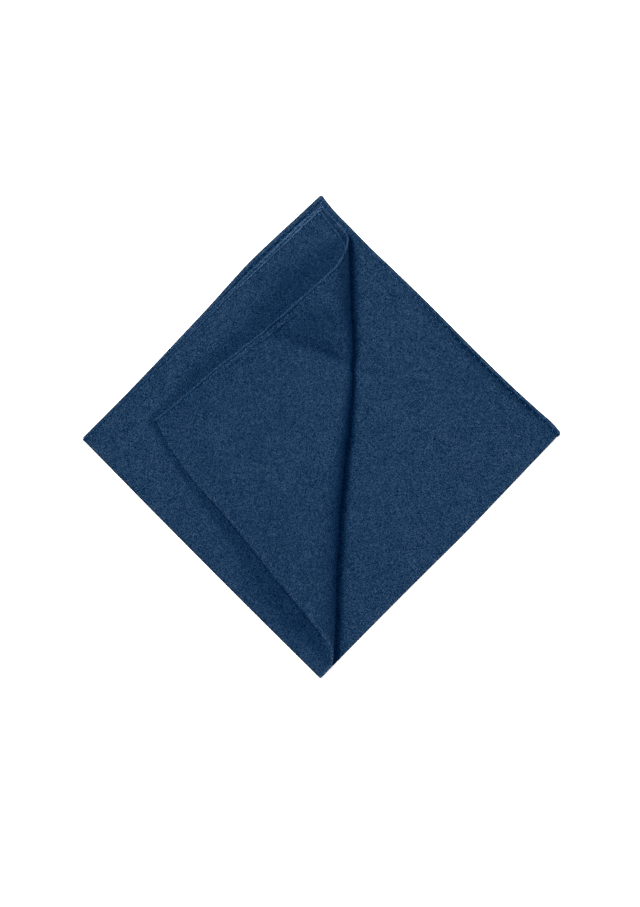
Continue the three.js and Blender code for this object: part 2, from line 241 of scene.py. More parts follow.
lower_plan = flat_plan(
    LEFT, BOTTOM, RIGHT, TOP,
    (BOW_LOWER_LEFT, BOW_LOWER_RIGHT, BOW_UPPER_RIGHT, BOW_UPPER_LEFT),
)  # fmt: skip
upper_plan = flat_plan(
    LEFT, BOTTOM, UPPER_RIGHT, UPPER_TOP,
    (BOW_LOWER_LEFT, BOW_FLAP_LOWER, BOW_FLAP_HEM, BOW_UPPER_PAIR_LEFT),
)  # fmt: skip

AXIS_ALONG = np.array([math.sin(ROLL_TILT), math.cos(ROLL_TILT)])
AXIS_ACROSS = np.array([math.cos(ROLL_TILT), -math.sin(ROLL_TILT)])

roll_rows = [
    (
        x * AXIS_ALONG[0] + y * AXIS_ALONG[1],
        x * AXIS_ACROSS[0] + y * AXIS_ACROSS[1],
        radius,
        share,
    )
    for y, x, radius, share in ROLL
]
roll_side = curve_through(roll_rows, 1)
roll_radius = curve_through(roll_rows, 2)
roll_height_share = curve_through(roll_rows, 3)

fan_left, fan_right = curve_through(FAN_LEFT, 1), curve_through(FAN_RIGHT, 1)
trough_depth = curve_through(TROUGH_DEPTH, 1)
hem_curl = curve_through(HEM_CURL, 1)
hem_lift = curve_through(HEM_CURL, 2)


def bend_start(along):
    return roll_side(along) - 2 * EDGE_INSET - roll_radius(along)


def crest_height(along):
    return 2 * roll_height_share(along) * roll_radius(along)


class RollSections:
    """Sections across the roll and the flap: place across and height, against the length of
    cloth past the start of the bend."""

    ALONG_STEP, LENGTH_STEP = 1.0, 0.25
    ALONG = np.arange(-125, 125 + ALONG_STEP, ALONG_STEP)
    LENGTH = np.arange(0, 160, LENGTH_STEP)

    def __init__(self):
        turn = np.linspace(0, math.pi, 90)
        away = np.arange(0.5, 150, 0.5)
        across_rows, height_rows = [], []
        for along in self.ALONG:
            radius, start = roll_radius(along), bend_start(along)
            power = FULLNESS[0] + (FULLNESS[1] - FULLNESS[0]) * smooth_step(along, *MOUTH_SPAN)
            bulge = np.where(turn < math.pi / 2, 1, power)
            roll_across = start + radius * np.abs(np.sin(turn)) ** bulge
            rise = np.abs(np.cos(turn)) ** bulge
            below = SIDE_HEIGHT * (1 - rise)
            above = SIDE_HEIGHT + (1 - SIDE_HEIGHT) * rise
            rise = np.where(turn < math.pi / 2, below, above)
            roll_height = crest_height(along) * rise
            share = np.minimum(away / (LANDING + LANDING_SLANT * along), 1)
            # The flap sinks from the crest, and is level again where it lands.
            lift = 1 - 2.5 * share**1.5 + 1.5 * share**2.5
            crest = crest_height(along - TROUGH_SLANT * away)
            from_trough = along - TROUGH_START - TROUGH_SLANT * away
            trough = trough_depth(away) * np.exp(-((from_trough / TROUGH_WIDTH) ** 2))
            across = np.concatenate([roll_across, start - away])
            flap_height = REST_HEIGHT + (crest - REST_HEIGHT) * lift - trough
            height = np.concatenate([roll_height, flap_height])
            length = np.concatenate([[0], np.cumsum(np.hypot(np.diff(across), np.diff(height)))])
            across_rows.append(np.interp(self.LENGTH, length, across))
            height_rows.append(np.interp(self.LENGTH, length, height))
        self.across, self.height = np.array(across_rows), np.array(height_rows)

    def at(self, along, length):
        """Place across, place along and height of the cloth, in the roll's own axes."""
        row = np.clip((along - self.ALONG[0]) / self.ALONG_STEP, 0, len(self.ALONG) - 1.001)
        column = np.clip(length / self.LENGTH_STEP, 0, len(self.LENGTH) - 1.001)
        i, j = row.astype(int), column.astype(int)
        fi, fj = row - i, column - j

        def read(table):
            near = table[i, j] * (1 - fj) + table[i, j + 1] * fj
            far = table[i + 1, j] * (1 - fj) + table[i + 1, j + 1] * fj
            return near * (1 - fi) + far * fi

        flat = np.minimum(length, 0)
        return np.stack([read(self.across) + flat, along, read(self.height)], -1)


SECTIONS = RollSections()


def turn_back(plan, out, soft):
    """Carries the flat upper pair over the roll. plan is a point's place, and out its distance
    from the pair's middle, towards the pair's top while it lies flat. soft is how much further
    it stands out where it is turned."""
    along = plan @ AXIS_ALONG
    length = plan @ AXIS_ACROSS - bend_start(along)
    out = out + soft * smooth_step(length, *SOFT_SPAN)
    near, far = 0.2, 1.0
    by_length = SECTIONS.at(along, length + near) - SECTIONS.at(along, length - near)
    by_along = SECTIONS.at(along + far, length) - SECTIONS.at(along - far, length)
    normal = np.cross(by_length, by_along)
    normal /= np.linalg.norm(normal, axis=-1, keepdims=True)
    local = SECTIONS.at(along, length) + normal * out[..., None]
    return local @ np.array([[*AXIS_ACROSS, 0], [*AXIS_ALONG, 0], [0, 0, 1]])


# Small creases pressed into the flat cloth: where each starts and ends, its width, and its depth
# into the outer side. Ridges are negative.
CREASES = [
    # u, v of the start, u, v of the end, width, depth
    (-154.5, -74, -145, -72, 2.2, 0.7),
    (-154.5, -47, -148, -48, 2.2, 0.6),
    (-150, -60, -138, -66, 2.5, 0.5),
    (-128, -84, -112, -96, 3.0, 0.6),
    (-96, -66, -84, -82, 3.5, -0.5),
    (-70, -40, -52, -62, 4.0, 0.4),
    (-120, -30, -108, -22, 3.0, 0.4),
    (-112, 92, -96, 108, 3.5, 0.5),
    (-60, 120, -40, 132, 4.0, 0.5),
    (-30, 96, -16, 84, 3.0, -0.4),
    (96, -120, 118, -112, 4.0, 0.4),
    (60, -60, 84, -70, 5.0, 0.35),
    (130, -40, 142, -58, 3.5, 0.4),
    (40, -130, 52, -112, 4.0, -0.4),
]


def crease_depth(u, v):
    depth = np.zeros(np.shape(u))
    for u_0, v_0, u_1, v_1, width, deepest in CREASES:
        run = np.array([u_1 - u_0, v_1 - v_0])
        length = np.hypot(*run)
        share = ((u - u_0) * run[0] + (v - v_0) * run[1]) / length**2
        aside = ((u - u_0) * run[1] - (v - v_0) * run[0]) / length
        past = np.maximum(np.abs(share - 0.5) - 0.5, 0) * length
        depth += deepest * np.exp(-(aside**2 + past**2) / width**2)
    return depth


def fold(u, v, out=0.0):
    """Folds points of the flat cloth, and gives their places in metres. u and v are places from
    the cloth's centre, and out is how far a point stands out of the cloth, on the side that is
    outermost once the square is folded."""
    u, v, out = np.broadcast_arrays(np.asarray(u, float), np.asarray(v, float), out)
    # First fold: the two layers of a pair join along the lower-right edge.
    radius = PAIR_HALF + out
    turn = np.clip(v / PAIR_HALF, -math.pi / 2, math.pi / 2)
    side = np.sin(turn)
    past = np.maximum(np.abs(v) - PAIR_HALF * math.pi / 2, 0)
    v_plan = EDGE_INSET + PAIR_HALF - radius * np.cos(turn) + past
    top_layer = (u < 0) & (v > 0)
    v_plan = v_plan - top_layer * fan_left(np.abs(u)) * np.clip(v / QUARTER, 0, 1)
    # Second fold: both pairs bend together along the lower-left edge.
    wrap = FOLD_RADIUS - PAIR_HALF + radius * side
    wrap_at_rest = FOLD_RADIUS - PAIR_HALF + PAIR_HALF * side
    turn = np.clip(u / wrap_at_rest, -math.pi / 2, math.pi / 2)
    past = np.maximum(np.abs(u) - wrap_at_rest * math.pi / 2, 0)
    u_plan = EDGE_INSET + FOLD_RADIUS - wrap * np.cos(turn) + past
    u_plan = u_plan - top_layer * fan_right(np.abs(v)) * np.clip(-u / QUARTER, 0, 1)
    # Each layer climbs over the hems under it.
    hem_u = smooth_step(np.abs(u), HEM_REACH - HEM_CLIMB, HEM_REACH)
    hem_v = smooth_step(np.abs(v), HEM_REACH - HEM_CLIMB, HEM_REACH)
    place = lower_plan(u_plan / U_SPAN, v_plan / V_SPAN)
    climb = np.maximum(hem_u, hem_v) * np.where(v > 0, LOWER_CLIMB[1], LOWER_CLIMB[0])
    z = FOLD_CENTRE - wrap * np.sin(turn) + climb
    puff = 1.0 - PUFF_FALL * smooth_step(np.abs(v), *PUFF_SPAN)
    z += PUFF_HEIGHT * puff * (v < 0) * np.exp(-(((HEM_REACH - u - PUFF_PLACE) / PUFF_REACH) ** 2))
    soft = SOFT_FOLD * side * np.exp(-((v / SOFT_REACH) ** 2))
    z += np.maximum(-soft, 0)
    lower = np.concatenate([place, np.maximum(z, FLOOR_GAP)[..., None]], -1)
    upper = turn_back(upper_plan(u_plan / U_SPAN, v_plan / V_SPAN), radius * side, soft)
    climb = hem_v * np.where(v > 0, UPPER_CLIMB[1], UPPER_CLIMB[0])
    upper[..., 2] += UPPER_MIDDLE - wrap * (1 + np.sin(turn)) + climb
    from_hem, from_corner = HEM_REACH + u, np.abs(v)
    upper[..., 2] += hem_curl(from_corner) * np.exp(-from_hem / CURL_REACH)
    upper[..., 2] += hem_lift(from_corner) * np.exp(-((from_hem / LIFT_REACH) ** 2))
    return np.where((u < 0)[..., None], upper, lower) * MM


def to_linear(colour):
    """An sRGB hex colour as linear red, green, blue and alpha."""
    shares = [int(colour[i : i + 2], 16) / 255 for i in (1, 3, 5)]
    return [c / 12.92 if c <= 0.04045 else ((c + 0.055) / 1.055) ** 2.4 for c in shares] + [1.0]


def add_node(tree, kind, inputs=(), **settings):
    """Adds a node with its settings. inputs pairs each input with a value or a socket."""
    made = tree.nodes.new(kind)
    for name, value in settings.items():
        setattr(made, name, value)
    for name, value in dict(inputs).items():
        if isinstance(value, bpy.types.NodeSocket):
            tree.links.new(value, made.inputs[name])
        else:
            made.inputs[name].default_value = value
    return made


def calculate(tree, operation, *values):
    """What a math node makes of values or sockets."""
    return add_node(
        tree, "ShaderNodeMath", enumerate(values), operation=operation
    ).outputs["Value"]  # fmt: skip


def change_over(tree, value, span, levels, **settings):
    """A shade that changes from its first level to its second over a span of value."""
    return add_node(
        tree, "ShaderNodeMapRange",
        {"Value": value, "From Min": span[0], "From Max": span[1],
         "To Min": levels[0], "To Max": levels[1]},
        **settings,
    ).outputs["Result"]  # fmt: skip


def new_material(name):
    material = bpy.data.materials.new(name)
    material.use_nodes = True
    tree = material.node_tree
    tree.nodes.clear()
    return material, tree


def wool_flannel(settings, name, painted_highlights=((0, 1), (320, 1)), axis="X", painted_groove_shade=0.0):
    """Wool flannel, woven, then milled and brushed. The weave is hidden under a matt nap, and
    dark and light fibres mixed in the yarn give it a fine melange grain. Its painted highlights
    are given as shades at places along one axis of the flat cloth, in millimetres. The last
    argument is how much darker the painted shade beside a hem is, where the stitches draw the
    cloth in hardest. The turned corner is given painted shade, and the folds painted highlights."""
    material, tree = new_material(name)
    coordinates = add_node(tree, "ShaderNodeUVMap", uv_map="cloth").outputs["UV"]
    # The map is in shares of the cloth's side, so this turns it to millimetres.
    flat = add_node(
        tree, "ShaderNodeMapping",
        {"Vector": coordinates, "Scale": [settings.side / MM] * 3},
    ).outputs["Vector"]  # fmt: skip
    # Fibres are about 0.02 mm thick. They are drawn as tufts of 0.1 mm by 0.4 mm, which still
    # show. They lie along the warp and the weft, and brushing has turned half of them a little.
    tufts = []
    for order, turn in enumerate((0.0, 1.57, 0.12, 1.45)):
        laid = add_node(
            tree, "ShaderNodeMapping",
            {"Vector": flat, "Rotation": (0, 0, turn), "Location": (170 * order, 90 * order, 0),
             "Scale": (settings.tuft_length / MM, settings.grain_size / MM, 1)},
            vector_type="TEXTURE",
        ).outputs["Vector"]  # fmt: skip
        tufts.append(
            add_node(
                tree, "ShaderNodeTexVoronoi", {"Vector": laid, "Scale": 1.0, "Randomness": 1.0},
                voronoi_dimensions="2D",
            ).outputs["Color"]
        )  # fmt: skip
    pairs = [calculate(tree, "MAXIMUM", a, b) for a, b in (tufts[:2], tufts[2:])]
    grain = calculate(tree, "SUBTRACT", *pairs)
    grain = calculate(tree, "MULTIPLY_ADD", grain, settings.grain_contrast, 0.5)
    flecks = add_node(tree, "ShaderNodeValToRGB", {"Fac": grain})
    ramp = flecks.color_ramp
    stops = [
        (0.0, settings.dark_fibre),
        (0.5, settings.navy),
        (1.0, settings.light_fibre),
    ]
    while len(ramp.elements) < len(stops):
        ramp.elements.new(0.5)
    for element, (place, colour) in zip(ramp.elements, stops):
        element.position = place
        element.color = [*colour[:3], 1]
    patches = add_node(
        tree, "ShaderNodeTexNoise",
        {"Vector": flat, "Scale": 0.09, "Detail": 3.0, "Roughness": 0.6},
        noise_dimensions="2D",
    ).outputs["Fac"]  # fmt: skip
    shade = change_over(tree, patches, (0.3, 0.7), (0.95, 1.05))
    place = add_node(tree, "ShaderNodeSeparateXYZ", {"Vector": flat}).outputs
    for (start, first), (end, last) in zip(painted_highlights, painted_highlights[1:]):
        # Each step multiplies the shade by what it has gained since the one before.
        gain = change_over(tree, place[axis], (start, end), (1.0, last / first))
        shade = calculate(tree, "MULTIPLY", shade, gain)
    shade = calculate(tree, "MULTIPLY", shade, painted_highlights[0][1])
    # Painted shade: the turned corner is a little darker all over.
    turned = [change_over(tree, place[side], TURNED_END, (1.0, 0.0)) for side in ("X", "Y")]
    turned = calculate(tree, "MULTIPLY", *turned)
    turned = calculate(tree, "MULTIPLY_ADD", turned, -settings.turned_painted_shade, 1.0)
    shade = calculate(tree, "MULTIPLY", shade, turned)
    # Painted shade beside each hem, where the stitches draw the cloth in, uneven along it.
    middle = settings.side / 2 / MM
    from_middle = [
        calculate(tree, "ABSOLUTE", calculate(tree, "SUBTRACT", place[side], middle))
        for side in ("X", "Y")
    ]
    reach = calculate(tree, "MAXIMUM", *from_middle)
    wander = add_node(
        tree, "ShaderNodeTexNoise", {"Vector": flat, "Scale": 0.35, "Detail": 2.0},
        noise_dimensions="2D",
    ).outputs["Fac"]  # fmt: skip
    reach = calculate(tree, "MULTIPLY_ADD", wander, 0.8, reach)
    narrow_painted_shade = change_over(
        tree, reach, [HEM_REACH - inside for inside in NARROW_SHADE_SPAN], (0.0, -painted_groove_shade),
        interpolation_type="SMOOTHSTEP",
    )  # fmt: skip
    # The painted shade is widest beside the upper-right hem, which is sewn tightest towards the
    # right corner.
    near_right = change_over(tree, place["X"], RIGHT_TIGHTENS, (0.0, 0.7))
    tight = change_over(tree, place["Y"], TIGHT_START, (0.0, 1.0))
    slack = change_over(tree, place["Y"], TIGHT_END, (1.0, 0.1))
    tight = calculate(tree, "MULTIPLY", tight, slack)
    tight = calculate(tree, "MULTIPLY", near_right, tight)
    wide_painted_shade = change_over(
        tree, reach, [HEM_REACH - inside for inside in WIDE_SHADE_SPAN], (1.0, 1.0 - 0.6 * painted_groove_shade),
        interpolation_type="SMOOTHSTEP",
    )  # fmt: skip
    wide_painted_shade = add_node(
        tree, "ShaderNodeMix", {"Factor": tight, "A": 1.0, "B": wide_painted_shade}, data_type="FLOAT"
    ).outputs["Result"]
    tight = calculate(tree, "ADD", tight, 0.15)  # elsewhere the narrow painted shade is only this strong
    narrow_painted_shade = calculate(tree, "MULTIPLY_ADD", narrow_painted_shade, tight, 1.0)
    narrow_painted_shade = calculate(tree, "MULTIPLY", narrow_painted_shade, wide_painted_shade)
    shade = calculate(tree, "MULTIPLY", shade, narrow_painted_shade)
    # Painted highlights on the folds: the second fold, the first one where it lies flat, and
    # most of all the first one at the roll's foot.
    fold_1 = change_over(tree, from_middle[1], (0.0, FOLD_HIGHLIGHT_WIDTH), (1.0, 0.0))
    fold_2 = change_over(tree, from_middle[0], (0.0, FOLD_HIGHLIGHT_WIDTH), (SECOND_FOLD_PAINTED_HIGHLIGHT, 0.0))
    foot = change_over(tree, place["X"], FOOT_START, (0.0, FOOT_PAINTED_HIGHLIGHT))
    flat_part = change_over(tree, place["X"], FOOT_END, (1.0, FIRST_FOLD_PAINTED_HIGHLIGHT / FOOT_PAINTED_HIGHLIGHT))
    for weight in (foot, flat_part):
        fold_1 = calculate(tree, "MULTIPLY", fold_1, weight)
    painted_fold_highlight = calculate(tree, "MAXIMUM", fold_1, fold_2)
    shade = calculate(tree, "MULTIPLY_ADD", painted_fold_highlight, shade, shade)
    colour = add_node(
        tree, "ShaderNodeVectorMath", {0: flecks.outputs["Color"], 1: shade}, operation="MULTIPLY"
    ).outputs["Vector"]
    bump = add_node(
        tree, "ShaderNodeBump", {"Height": grain, "Strength": 0.25, "Distance": 0.15 * MM}
    ).outputs["Normal"]
    shader = add_node(
        tree, "ShaderNodeBsdfPrincipled",
        {"Base Color": colour, "Roughness": 0.95, "IOR": 1.45, "Specular IOR Level": 0.05,
         "Normal": bump},
    )  # fmt: skip
    add_node(tree, "ShaderNodeOutputMaterial", {"Surface": shader.outputs["BSDF"]})
    return material


def plain_material(name, colour, roughness, glow):
    """A plain matt surface, lit a little from behind."""
    material, tree = new_material(name)
    shader = add_node(
        tree, "ShaderNodeBsdfPrincipled",
        {"Base Color": to_linear(colour), "Roughness": roughness,
         "Emission Color": to_linear(colour), "Emission Strength": glow},
    )  # fmt: skip
    add_node(tree, "ShaderNodeOutputMaterial", {"Surface": shader.outputs["BSDF"]})
    return material


def deselect_all():
    if bpy.context.object and bpy.context.object.mode != "OBJECT":
        bpy.ops.object.mode_set(mode="OBJECT")
    bpy.ops.object.select_all(action="DESELECT")


def flat_grid(name, us, vs):
    """A flat grid of cloth with a vertex at each pair of places. It gives the object and the
    place of each vertex as its row in us and its row in vs."""
    deselect_all()
    bpy.ops.mesh.primitive_grid_add(
        x_subdivisions=len(us) - 1, y_subdivisions=len(vs) - 1, size=2, calc_uvs=True
    )
    made = bpy.context.object
    made.name = made.data.name = name
    places = np.zeros(len(made.data.vertices) * 3)
    made.data.vertices.foreach_get("co", places)
    places = places.reshape(-1, 3)
    i = np.rint((places[:, 0] + 1) / 2 * (len(us) - 1)).astype(int)
    j = np.rint((places[:, 1] + 1) / 2 * (len(vs) - 1)).astype(int)
    return made, i, j


def place_vertices(made, points):
    made.data.vertices.foreach_set("co", np.ascontiguousarray(points, dtype=float).ravel())
    made.data.update()


def set_cloth_map(made, u, v, side):
    """Writes the place on the flat cloth of each vertex as the piece's own map."""
    if made.data.uv_layers:
        layer = made.data.uv_layers[0]
        layer.name = "cloth"
    else:
        layer = made.data.uv_layers.new(name="cloth")
    corner = np.zeros(len(made.data.loops), int)
    made.data.loops.foreach_get("vertex_index", corner)
    pairs = np.stack([u[corner] * MM / side + 0.5, v[corner] * MM / side + 0.5], -1)
    layer.data.foreach_set("uv", pairs.ravel())


def finish_piece(made, material, nodes):
    made.data.materials.clear()
    made.data.materials.append(material)
    deselect_all()
    made.select_set(True)
    bpy.context.view_layer.objects.active = made
    bpy.ops.object.shade_smooth()
    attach(made, "root")
    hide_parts(*nodes)


# Each hem: the piece's name, the solid it stands for, the edge it runs along, as the flat
# direction that it lies in and its sign, and half its width
HEMS = [
    ("hem_outer_left", "lower_hem_left", "v", 1, 0.54),
    ("hem_inner_left", "upper_hem_left", "v", -1, 1.15),
    ("hem_lower_right", "lower_hem_right", "u", 1, 0.95),
    ("hem_turned", "turned_hem", "u", -1, 0.72),
]
# Painted highlights on the rolled edges: how much lighter than the cloth they are painted, by
# the place on its map: along X on the upper-left and upper-right edges, and along Y on the turned
# one
LEFT_PAINTED_HIGHLIGHTS = ((0, 1.9), (95, 1.1), (150, 1.08), (165, 1.25), (225, 1.25), (250, 1.12))
RIGHT_PAINTED_HIGHLIGHTS = ((0, 1.12), (160, 1.12))
TURNED_PAINTED_HIGHLIGHTS = ((0, 1.7), (50, 1.22))
HALF_WIDTHS = np.array([row[-1] for row in HEMS])
GROOVE_DEPTHS = np.array([0.3, 0.4, 0.4, 0.16])
STITCH_DEPTH = 0.6  # the hardest stitch draws the cloth in this much further
DEEPEST_PULL = 0.6  # past this the cloth would leave its hem
STITCH_INSIDE, STITCH_REACH = 0.35, 0.95  # a stitch is this far inside its hem, and pulls this far
GROOVE_WIDTH = 0.45
HEM_UNEVEN, HEM_END = 0.07, 1.15  # share of its width, and how far its rounded ends reach past
HEM_GIRTH = 2.6  # half of what a hem measures round, on the cloth map
PINCH = 0.4  # share of a hem's inner half that the hardest stitch takes from it
# From the middle of an edge to its ends, where the hems' tightness changes
HEM_CHANGES, TURNED_CHANGES = (60, 100), (20, 60)


def places_between(fine, coarse_step, reach):
    """Places from 0 out to the hem: fine ones first, then even ones, then fine ones at the hem."""
    groove = [reach - a for a in (4.2, 3.1, 2.4, 2.0, 1.7, 1.4, 1.1, 0.8, 0.0)]
    count = int(round((groove[0] - fine[-1]) / coarse_step))
    even = np.linspace(fine[-1], groove[0], count + 1)[1:-1]
    return np.concatenate([fine, even, groove])


STITCHES = int(HEM_REACH / STITCH_PITCH)  # each way from the middle of a hem
rng = np.random.default_rng(5)
# How hard each stitch pulls, by hem. Every second one is firm, and none is quite alike.
STITCH_STRENGTH = rng.uniform(0.1, 0.45, (len(HEMS), 2 * STITCHES + 1))
STITCH_STRENGTH[:, ::2] += rng.uniform(0.2, 0.55, (len(HEMS), STITCHES + 1))
STITCH_WANDER = rng.normal(0, 0.35, STITCH_STRENGTH.shape)


def stitch_pull(hem, run):
    """How hard the stitches pull at a place along a hem, from 0 to 1."""
    k = np.clip(np.rint(run / STITCH_PITCH).astype(int) + STITCHES, 0, 2 * STITCHES)
    middle = (k - STITCHES) * STITCH_PITCH + STITCH_WANDER[hem, k]
    return STITCH_STRENGTH[hem, k] * np.exp(-(((run - middle) / STITCH_REACH) ** 2))


WANDER_STEP = 2.6
WANDER = rng.normal(0, 0.2, (len(HEMS), int(2 * QUARTER / WANDER_STEP) + 3))


def hem_wander(hem, run):
    """How far a hem strays sideways from its straight line."""
    place = np.clip((run + QUARTER) / WANDER_STEP, 0, WANDER.shape[1] - 2)
    k = place.astype(int)
    t = place - k
    return WANDER[hem, k] * (1 - t) + WANDER[hem, k + 1] * t


def groove_depth(u, v):
    """How far the cloth is drawn in beside its hem, by the pick stitches."""
    along_v = np.abs(v) > np.abs(u)
    hem = np.where(along_v, np.where(v > 0, 0, 1), np.where(u > 0, 2, 3))
    run = np.where(along_v, u, v)
    inside = HEM_REACH - np.maximum(np.abs(u), np.abs(v)) + hem_wander(hem, run)
    # The upper-right hem is sewn tightest away from the open corner, and the upper-left ones
    # towards it.
    towards_end = smooth_step(np.abs(run), *HEM_CHANGES)
    slack = np.where(hem == 2, 0.95 * towards_end, 0)
    slack = np.where(hem < 2, 0.8 - 0.8 * towards_end, slack)
    # The turned hem is drawn in tighter between the roll's mouth and the open corner.
    slack = np.where(hem == 3, -2 * smooth_step(run, *TURNED_CHANGES), slack)
    depth = (1 - slack) * GROOVE_DEPTHS[hem] + STITCH_DEPTH * stitch_pull(hem, run)
    depth = np.minimum(depth, DEEPEST_PULL)
    past_hem = inside - HALF_WIDTHS[hem] - STITCH_INSIDE
    return -depth * np.exp(-((past_hem / GROOVE_WIDTH) ** 2))


class PocketSquareSettings(bpy.types.PropertyGroup):
    side: bpy.props.FloatProperty(
        name="Side", description="Side of the flat square", default=0.32, unit="LENGTH"
    )
    grain_size: bpy.props.FloatProperty(
        name="Grain size", description="Width of a tuft of fibres", default=0.0001, unit="LENGTH"
    )
    tuft_length: bpy.props.FloatProperty(
        name="Tuft length", description="Length of a tuft of fibres", default=0.0004, unit="LENGTH"
    )
    grain_contrast: bpy.props.FloatProperty(
        name="Grain contrast", description="Contrast of light and dark fibres", default=1.5
    )
    # Painted shade on the turned corner
    turned_painted_shade: bpy.props.FloatProperty(
        name="Nap shade", description="How much darker the turned corner looks", default=0.045
    )
    navy: bpy.props.FloatVectorProperty(
        name="Navy", description="Colour of the cloth", subtype="COLOR",
        default=to_linear(NAVY)[:3],
    )
    dark_fibre: bpy.props.FloatVectorProperty(
        name="Dark fibre", description="Colour of the darkest fibres", subtype="COLOR",
        default=to_linear("#05121F")[:3],
    )  # fmt: skip
    light_fibre: bpy.props.FloatVectorProperty(
        name="Light fibre", description="Colour of the lightest fibres", subtype="COLOR",
        default=to_linear("#375677")[:3],
    )  # fmt: skip
    thread: bpy.props.FloatVectorProperty(
        name="Thread", description="Colour of the stitching thread", subtype="COLOR",
        default=to_linear("#37699C")[:3],
    )  # fmt: skip


class StageSettings(bpy.types.PropertyGroup):
    key_power: bpy.props.FloatProperty(
        name="Left power", description="Power of the left softbox", default=40.0, unit="POWER"
    )
    key_size: bpy.props.FloatProperty(
        name="Left size", description="Side of the left softbox", default=0.5, unit="LENGTH"
    )
    right_power: bpy.props.FloatProperty(
        name="Right power", description="Power of the right softbox", default=18.5, unit="POWER"
    )
    right_size: bpy.props.FloatProperty(
        name="Right size", description="Side of the right softbox", default=0.6, unit="LENGTH"
    )
    exposure: bpy.props.FloatVectorProperty(
        name="Exposure", description="Brightness of the cloth in red, green and blue",
        default=(2.31, 1.975, 1.825), size=3,
    )  # fmt: skip
    contrast: bpy.props.FloatVectorProperty(
        name="Contrast", description="Contrast of the cloth in red, green and blue",
        default=(2.4, 1.5, 1.1), size=3,
    )  # fmt: skip
    fill: bpy.props.FloatProperty(
        name="Fill", description="Strength of the light from all round", default=0.01, min=0
    )


class POCKET_OT_cloth(bpy.types.Operator):
    """Make the square of cloth and fold it"""

    bl_idname = "pocket.cloth"
    bl_label = "Folded cloth"

    def execute(self, context):
        settings = context.scene.pocket_square
        fold_1 = np.array([0, 0.12, 0.26, 0.42, 0.6, 1.0, 1.7, 2.8])
        fold_2 = np.array([0, 0.35, 0.7, 1.05, 1.4, 1.8, 2.4, 3.3])
        v_half = places_between(fold_1, 1.3, HEM_REACH)
        u_upper = places_between(fold_2, 1.3, HEM_REACH)
        u_lower = places_between(fold_2, 4.0, HEM_REACH)
        us = np.concatenate([-u_upper[:0:-1], u_lower])
        vs = np.concatenate([-v_half[:0:-1], v_half])
        cloth, i, j = flat_grid("folded_cloth", us, vs)
        u, v = us[i], vs[j]
        place_vertices(cloth, fold(u, v, groove_depth(u, v) - crease_depth(u, v)))
        set_cloth_map(cloth, u, v, settings.side)
        solidify = cloth.modifiers.new("thickness", "SOLIDIFY")
        solidify.thickness = THICKNESS * MM
        solidify.offset = 0
        bpy.ops.object.modifier_apply(modifier=solidify.name)
        # The cloth gets painted shade beside its hems and on the turned corner, and painted
        # highlights on its folds.
        material = wool_flannel(settings, "brushed_wool_flannel", painted_groove_shade=0.4)
        nodes = ("lower_layers", "upper_layers", "turned_corner", "fold_bend")
        finish_piece(cloth, material, nodes)
        return {"FINISHED"}


def on_edge(edge, sign, run, inside):
    """Flat places beside one edge of the cloth: run along it, and inside from its hem's middle."""
    across = sign * (HEM_REACH - inside)
    return (run, across) if edge == "v" else (across, run)


def hem_runs(step):
    return np.linspace(-HEM_REACH - 1.1, HEM_REACH + 1.1, int(2 * HEM_REACH / step))


class POCKET_OT_hems(bpy.types.Operator):
    """Roll the four edges of the cloth into hems"""

    bl_idname = "pocket.hems"
    bl_label = "Rolled hems"

    def execute(self, context):
        settings = context.scene.pocket_square
        # The rolled edges are painted lighter along their length: painted highlights.
        left = wool_flannel(settings, "rolled_flannel_edge_left", LEFT_PAINTED_HIGHLIGHTS)
        right = wool_flannel(settings, "rolled_flannel_edge_right", RIGHT_PAINTED_HIGHLIGHTS)
        turned = wool_flannel(settings, "rolled_flannel_edge_turned", TURNED_PAINTED_HIGHLIGHTS, "Y")
        materials = (left, left, right, turned)
        turns = np.linspace(0, 2 * math.pi, 11)
        runs = hem_runs(0.7)
        rng = np.random.default_rng(7)
        for row, (name, node, edge, sign, half_width) in enumerate(HEMS):
            hem, i, j = flat_grid(name, runs, turns)
            run, turn = runs[i], turns[j]
            pinch = 1 - PINCH * stitch_pull(row, run)
            widths = 1 + HEM_UNEVEN * rng.standard_normal(len(runs[::3]))
            uneven = np.interp(run, runs[::3], widths)
            end = np.sqrt(np.clip((HEM_REACH + HEM_END - np.abs(run)) / 0.5, 0.05, 1))
            # Its outer side is the cloth's edge, which runs straight.
            inner = (1 + np.cos(turn)) / 2
            size = (1 + (pinch * uneven - 1) * inner) * end
            inside = half_width * np.cos(turn) * size - hem_wander(row, run) * inner
            out = HEM_PROUD + HEM_HALF_HEIGHT * np.sin(turn) * size
            u, v = on_edge(edge, sign, run, inside)
            place_vertices(hem, fold(u, v, out))
            around = (turn / math.pi - 1) * HEM_GIRTH
            set_cloth_map(hem, *on_edge(edge, sign, run, around), settings.side)
            bpy.ops.object.mode_set(mode="EDIT")
            bpy.ops.mesh.select_all(action="SELECT")
            bpy.ops.mesh.remove_doubles(threshold=1e-7)
            bpy.ops.mesh.select_all(action="DESELECT")
            bpy.ops.mesh.select_mode(type="EDGE")
            bpy.ops.mesh.select_non_manifold()
            bpy.ops.mesh.edge_face_add()
            bpy.ops.mesh.select_all(action="SELECT")
            bpy.ops.mesh.normals_make_consistent(inside=False)
            bpy.ops.object.mode_set(mode="OBJECT")
            finish_piece(hem, materials[row], [node])
        return {"FINISHED"}


